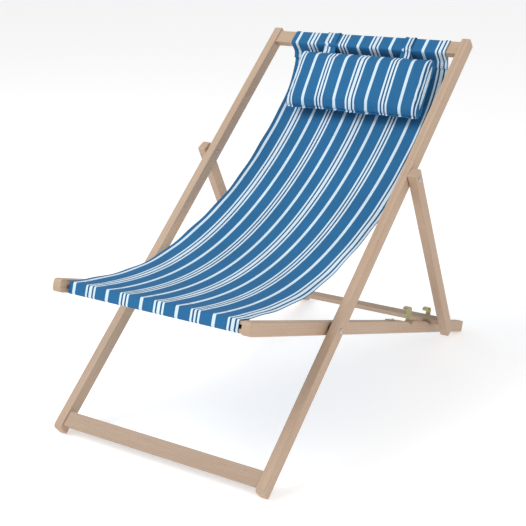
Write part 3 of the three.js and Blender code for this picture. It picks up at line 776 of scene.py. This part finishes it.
def from_uv(axis):
    """Makes the distance across (0) or along (1) from a piece's own UV map."""
    return lambda tree: add_node(
        tree, "SeparateXYZ", {0: add_node(tree, "UVMap", uv_map="cloth").outputs[0]}
    ).outputs[axis]


THREAD_BLUE = (0.040, 0.150, 0.330, 1)
sewing, sewing_tree, sewing_shader = new_material("sewing_thread")
sewing_ply = speckle(sewing_tree, own_place(sewing_tree), 3200, 1)
sewing_tree.links.new(
    blended(sewing_tree, sewing_ply, THREAD_BLUE, DYE_BLUE_DEEP), sewing_shader.inputs["Base Color"]
)
sewing_tree.links.new(bumped(sewing_tree, sewing_ply, 0.0001), sewing_shader.inputs["Normal"])
sewing_dull = between(sewing_tree, sewing_ply, 0.2, 0.8, 0.5, 0.7)
sewing_tree.links.new(sewing_dull, sewing_shader.inputs["Roughness"])

STITCH = {"length": 0.0034, "radius": 0.00042}
STITCH_PITCH = 0.0044
STRIPE_FIRST = 0.0165                # left edge of the sling to the middle of its first stripe

sling = woven_band("sling_cloth", sling_at, sling_arc, SLING_WIDTH, CLOTH_THICK, HEM, 64)
sling.data.materials.append(
    canvas_material("sling_canvas_weave", from_uv(0), from_uv(1), STRIPE_FIRST)
)

hem_v = np.arange(0.004, sling_arc[-1] - 0.004, STITCH_PITCH)
row_u = np.arange(0.006, SLING_WIDTH - 0.006, STITCH_PITCH)
HEM_LINE = HEM - 0.002


def sling_row(name, v, h):
    """A row of stitches across the sling."""
    flat = np.full_like(row_u, v)
    over_hem = np.minimum(row_u, SLING_WIDTH - row_u) < HEM
    height = np.where(over_hem & (h < 0), -1.5 * CLOTH_THICK, h)
    return stitch_rows(name, sling_at, row_u, flat, height, False, **STITCH)


sling_seams = []
for side, u in (("left", HEM_LINE), ("right", SLING_WIDTH - HEM_LINE)):
    for face, h in (("face", CLOTH_THICK / 2), ("under", -1.5 * CLOTH_THICK)):
        flat, height = np.full_like(hem_v, u), np.full_like(hem_v, h)
        name = f"sling_hem_{face}_{side}"
        sling_seams.append(stitch_rows(name, sling_at, flat, hem_v, height, True, **STITCH))
front_seam = hang_end - SEAM_FAR - 0.009
for k, v in enumerate((0.005, 0.011)):
    sling_seams.append(sling_row(f"sling_top_seam_{k + 1}", v, -CLOTH_THICK / 2))
    sling_seams.append(sling_row(f"sling_front_seam_{k + 1}", front_seam + v, CLOTH_THICK / 2))

for piece in (sling, *sling_seams):
    if piece is not sling:
        piece.data.materials.append(sewing)
    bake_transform(piece)
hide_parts("sling")

# ---------------------------------------------------------------- headrest pillow
# A fibre-filled case of the same canvas that lies on the sling below the top bar. Its front and back are
# sewn together along the top and the bottom, where the canvas puckers, and its ends are tucked in.

PILLOW_ANGLE = 53.8
PILLOW_BELOW = (-0.026, -0.004)      # from where the sling leaves the top bar
PILLOW_MIDDLE, PILLOW_WIDTH = 0.022, 0.392
PILLOW_LONG, PILLOW_THICK = 0.170, 0.030
PILLOW_SEAM = -0.008                 # the middle of its thickness, out from its frame
PILLOW_CROWN = 0.007                 # how far the middle of its front stands out
TUCK = 0.008                         # how deep the ends are tucked in
VOXEL = 0.005
SWELL_LIMIT = 0.006
PILLOW_ENDS = (-0.1715, 0.2080)      # places across the chair past which its cloth is tucked in
PUCKER = 0.0175                      # from one pucker beside a seam to the next
SEAM_END = 0.004
PILLOW_PLAIN = -0.1370               # a place across the chair where the cloth is plain blue
PILLOW_STRIPE = -0.2060              # a single stripe's place across the chair

pillow_top = top_leaves + np.array(PILLOW_BELOW)
pillow_axes = heading(PILLOW_ANGLE)


def in_pillow(points):
    """Points as distances across the chair, up the pillow from its top edge, and out of its front."""
    flat = points[:, 1:] - pillow_top
    return np.column_stack([points[:, 0] - PILLOW_MIDDLE, flat @ pillow_axes[0], flat @ pillow_axes[1]])


def out_of_pillow(local):
    """The reverse of in_pillow."""
    flat = pillow_top + local[:, 1:2] * pillow_axes[0] + local[:, 2:] * pillow_axes[1]
    return np.column_stack([local[:, 0] + PILLOW_MIDDLE, flat])


def pillow_blank():
    """The case before it is filled: a flat cushion's section between its two seams, carried across the
    chair. Its front is crowned in the middle, and each end is pushed in along the middle as a V."""
    turn = np.linspace(0, 2 * np.pi, 72, endpoint=False)
    up = np.sign(np.cos(turn)) * np.abs(np.cos(turn)) ** 0.62
    out = np.sign(np.sin(turn)) * np.abs(np.sin(turn)) ** 0.72
    half = PILLOW_WIDTH / 2
    across = np.concatenate([np.full(7, -half), np.linspace(-half, half, 60), np.full(7, half)])
    keep = np.concatenate([np.linspace(0.02, 1, 8)[:-1], np.ones(60), np.linspace(1, 0.02, 8)[1:]])
    tucked = across - np.sign(across) * TUCK * (1 - keep)
    crown = PILLOW_CROWN * np.clip(out[None], 0, 1) * (1 - (across[:, None] / half) ** 2)
    x = np.broadcast_to(tucked[:, None], (len(across), len(turn)))
    s = np.broadcast_to(-PILLOW_LONG / 2 + PILLOW_LONG / 2 * up[None], x.shape)
    n = PILLOW_SEAM + PILLOW_THICK / 2 * out[None] * keep[:, None] + crown
    points = out_of_pillow(np.stack([x, s, n], axis=-1).reshape(-1, 3))
    return closed_tube("headrest_pillow_case", points, len(turn), turned=True)


def settled(piece):
    """Gives a piece the mesh that its modifiers make, and takes them off."""
    shaped = piece.evaluated_get(bpy.context.evaluated_depsgraph_get())
    piece.data = bpy.data.meshes.new_from_object(shaped)
    piece.modifiers.clear()


def points_of(piece):
    """A piece's points as an array."""
    points = np.empty(len(piece.data.vertices) * 3, np.float32)
    piece.data.vertices.foreach_get("co", points)
    return points.reshape(-1, 3).astype(float)


def set_points(piece, points):
    """Moves a piece's points."""
    piece.data.vertices.foreach_set("co", points.astype(np.float32).ravel())
    piece.data.update()


def fill_with_fibre(piece, pressure, limit):
    """Swells a closed case as cloth under pressure, and holds each point within limit of its start."""
    before = points_of(piece)
    cloth = piece.modifiers.new("fill", "CLOTH")
    cloth.settings.quality = 6
    cloth.settings.mass = 0.25
    cloth.settings.tension_stiffness = 12
    cloth.settings.compression_stiffness = 12
    cloth.settings.bending_stiffness = 0.4
    cloth.settings.use_pressure = True
    cloth.settings.uniform_pressure_force = pressure
    cloth.settings.effector_weights.gravity = 0
    cloth.collision_settings.use_self_collision = False
    for step in range(1, 21):
        bpy.context.scene.frame_set(step)
    settled(piece)
    bpy.context.scene.frame_set(1)
    moved = points_of(piece) - before
    far = np.linalg.norm(moved, axis=1)[:, None]
    set_points(piece, before + moved * np.minimum(1, limit / np.maximum(far, 1e-9)))


pillow = pillow_blank()
remesh = pillow.modifiers.new("even", "REMESH")
remesh.mode = "VOXEL"
remesh.voxel_size = VOXEL
settled(pillow)
fill_with_fibre(pillow, 4.0, SWELL_LIMIT)
smooth = pillow.modifiers.new("smooth", "SUBSURF")
smooth.levels = smooth.render_levels = 1
settled(pillow)
pillow.data.polygons.foreach_set("use_smooth", np.ones(len(pillow.data.polygons), bool))


def sewn_case(local, normals):
    """Draws the case in at its seams and puckers it beside them. Along the top and bottom seams a narrow
    groove runs between the front and the back, and small folds stand across it and die away over two
    centimetres."""
    x, s, n = local.T
    seam_s = np.where(s > -PILLOW_LONG / 2, 0.0, -PILLOW_LONG)
    from_seam = np.hypot(s - seam_s, n - PILLOW_SEAM)
    phase = 1.6 * np.sin(2 * np.pi * x / 0.083) + 0.9 * np.sin(2 * np.pi * x / 0.031 + 1)
    share = np.where(s > -PILLOW_LONG / 2, 0.55, 1.0)
    pucker = 0.0019 * share * np.sin(2 * np.pi * x / PUCKER + phase) * np.exp(-from_seam / 0.014)
    groove = -0.0022 * np.exp(-(((n - PILLOW_SEAM) / 0.0035) ** 2)) * np.exp(-np.abs(s - seam_s) / 0.02)
    end = np.abs(x) - PILLOW_WIDTH / 2 + TUCK
    pleat = 0.0005 * np.sin(2 * np.pi * s / 0.042 + 2 * np.sign(x)) * np.clip(end / TUCK, 0, 1)
    slack = 0.0012 * np.sin(2 * np.pi * x / 0.19 + 0.6) * np.sin(np.pi * s / PILLOW_LONG * 1.7)
    return local + normals * (pucker + groove + pleat + slack)[:, None]


case_normals = np.empty(len(pillow.data.vertices) * 3, np.float32)
pillow.data.vertices.foreach_get("normal", case_normals)
case_normals = case_normals.reshape(-1, 3).astype(float)
local_normals = np.column_stack([
    case_normals[:, 0], case_normals[:, 1:] @ pillow_axes[0], case_normals[:, 1:] @ pillow_axes[1]
])
set_points(pillow, out_of_pillow(sewn_case(in_pillow(points_of(pillow)), local_normals)))

# the back of the pillow lies on the sling
hang_y, hang_z = hanging.T
pressed = points_of(pillow)
sling_y = np.interp(pressed[:, 2], hang_z[::-1], hang_y[::-1])
slope = np.interp(pressed[:, 2], hang_z[::-1], np.gradient(hang_y, hang_z)[::-1])
room = 0.0025 * np.sqrt(1 + slope**2)
pressed[:, 1] = np.where(pressed[:, 2] > 0.5, np.minimum(pressed[:, 1], sling_y - room), pressed[:, 1])
set_points(pillow, pressed)


def across_chair(tree):
    """The distance across the chair, from a piece's own place. Past the pillow's ends the cloth that is
    tucked in takes the plain blue beside a stripe."""
    distance = add_node(tree, "SeparateXYZ", {0: own_place(tree)}).outputs[0]
    past_left = reckon(tree, "LESS_THAN", distance, PILLOW_ENDS[0])
    at_end = reckon(tree, "MAXIMUM", past_left, reckon(tree, "GREATER_THAN", distance, PILLOW_ENDS[1]))
    return reckon(tree, "MULTIPLY_ADD", at_end, reckon(tree, "SUBTRACT", PILLOW_PLAIN, distance), distance)


def up_pillow(tree):
    """The distance up the pillow, from a piece's own place."""
    return add_node(tree, "SeparateXYZ", {0: own_place(tree, turn=(-PILLOW_ANGLE, 0, 0))}).outputs[1]


pillow.data.materials.clear()
pillow.data.materials.append(
    canvas_material("pillow_canvas_weave", across_chair, up_pillow, PILLOW_STRIPE, creases=0.0012)
)

pillow_tree = BVHTree.FromPolygons(
    points_of(pillow).tolist(), [tuple(p.vertices) for p in pillow.data.polygons]
)


def pillow_seam(u, v, h):
    """A point of a seam: u across the chair, on the pillow's outline at the top (v near 0) or the bottom
    (v near 1), found by coming in along the pillow's own plane."""
    ends = np.where(v < 0.5, 0.06, -PILLOW_LONG - 0.06)
    starts = out_of_pillow(np.column_stack([u, ends, PILLOW_SEAM + 0 * u]))
    inward = np.where(v < 0.5, -1.0, 1.0)
    hits = [
        pillow_tree.ray_cast(Vector(start), Vector((0, *(way * pillow_axes[0]))))[0]
        for start, way in zip(starts, inward)
    ]
    found = np.array([hit if hit is not None else start for hit, start in zip(hits, starts)], float)
    return found - (inward * h)[:, None] * np.array([0, *pillow_axes[0]])


def seam_cord(name, end):
    """The narrow welt of canvas caught in a seam: a flat oval carried along the seam and its puckers."""
    half = PILLOW_WIDTH / 2 - TUCK - SEAM_END
    u = np.linspace(-half, half, 220)
    centre = pillow_seam(u, np.full_like(u, end), np.full_like(u, 0.0012))
    wave = 0.0009 * np.sin(2 * np.pi * u / PUCKER + 1.6 * np.sin(2 * np.pi * u / 0.083))
    centre = centre + wave[:, None] * np.array([0, *pillow_axes[1]])
    turn = np.linspace(0, 2 * np.pi, 10, endpoint=False)
    wide, thick = 0.0030 * np.sin(turn), 0.0013 * np.cos(turn)
    shape = wide[:, None] * np.array([0, *pillow_axes[0]]) + thick[:, None] * np.array([0, *pillow_axes[1]])
    points = (centre[:, None] + shape[None]).reshape(-1, 3)
    welt = closed_tube(name, points, len(turn), turned=True)
    welt.data.materials.append(pillow.data.materials[0])
    return welt


pillow_trim = [seam_cord("pillow_top_seam", 0.0), seam_cord("pillow_bottom_seam", 1.0)]
for piece in (pillow, *pillow_trim):
    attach(piece, "back_frame")
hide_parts("headrest_pillow")

# ---------------------------------------------------------------- pillow straps
# Two hemmed strips of the same canvas, sewn into the pillow's top seam. They lie over the sling's sleeve on
# the top bar and hang down behind it, where their own weight holds the pillow.

STRAP_CLOTH = 0.0011
STRAP_HEM = 0.006
STRAP_OFF = 0.0034                   # the top bar's faces to the middle of the strap
STRAP_TAIL = 0.130
STRAP_START = (-0.012, -0.006)       # inside the pillow's top edge
# each strap's two edges across the chair, and where a stripe is from its left edge
STRAPS = {"left": (-0.113, -0.076, -0.0390), "right": (0.113, 0.142, -0.1149)}

strap_turn = on_back(TOP_BAR_S[1] + STRAP_OFF - 0.004, TOP_BAR_N[0] - 0.012)
strap_line = round_corners(
    [
        pillow_top + STRAP_START[0] * pillow_axes[0] + STRAP_START[1] * pillow_axes[1],
        pillow_top + 0.010 * pillow_axes[0] + STRAP_START[1] * pillow_axes[1],
        on_back(TOP_BAR_S[0] + 0.004, TOP_BAR_N[1] + STRAP_OFF),
        on_back(TOP_BAR_S[1] + STRAP_OFF, TOP_BAR_N[1] + STRAP_OFF),
        on_back(TOP_BAR_S[1] + STRAP_OFF, TOP_BAR_N[0] - 0.004),
        strap_turn,
        strap_turn + (0.003, -STRAP_TAIL / 2),
        strap_turn + (0.002, -STRAP_TAIL),
    ],
    0.008,
)
strap_line = spaced(strap_line, 0.002)
strap_arc = lengths_along(strap_line)
strap_side = sideways(strap_line)
TAIL_FROM = strap_arc[-1] - STRAP_TAIL

for side, (low, high, stripe) in STRAPS.items():
    width = high - low

    def strap_at(u, v, h):
        """A point of the strap: v along it, u across it, h off it. The tail waves and curls a little."""
        tail = np.clip((v - TAIL_FROM) / STRAP_TAIL, 0, 1)
        wave = 0.003 * np.sin(9 * v / STRAP_TAIL + 20 * low)
        curl = 0.0016 * np.sin(2 * np.pi * u / width)
        off = h + tail * (wave + curl)
        y, z, across_y, across_z = (
            np.interp(v, strap_arc, column) for column in (*strap_line.T, *strap_side.T)
        )
        return np.stack([low + u, y + off * across_y, z + off * across_z], axis=-1)

    strap = woven_band("pillow_strap_cloth_" + side, strap_at, strap_arc, width, STRAP_CLOTH, STRAP_HEM, 22)
    strap.data.materials.append(canvas_material("strap_weave_" + side, from_uv(0), from_uv(1), stripe))
    run = np.arange(0.02, strap_arc[-1] - 0.003, STITCH_PITCH)
    strap_seams = []
    for edge, u in (("a", STRAP_HEM - 0.0015), ("b", width - STRAP_HEM + 0.0015)):
        flat, height = np.full_like(run, u), np.full_like(run, -1.5 * STRAP_CLOTH)
        name = f"strap_hem_{edge}_{side}"
        strap_seams.append(stitch_rows(name, strap_at, flat, run, height, True, **STITCH))
        strap_seams[-1].data.materials.append(sewing)
    for piece in (strap, *strap_seams):
        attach(piece, "back_frame")
    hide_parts("pillow_strap_" + side)

# ---------------------------------------------------------------- sizes

low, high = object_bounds()
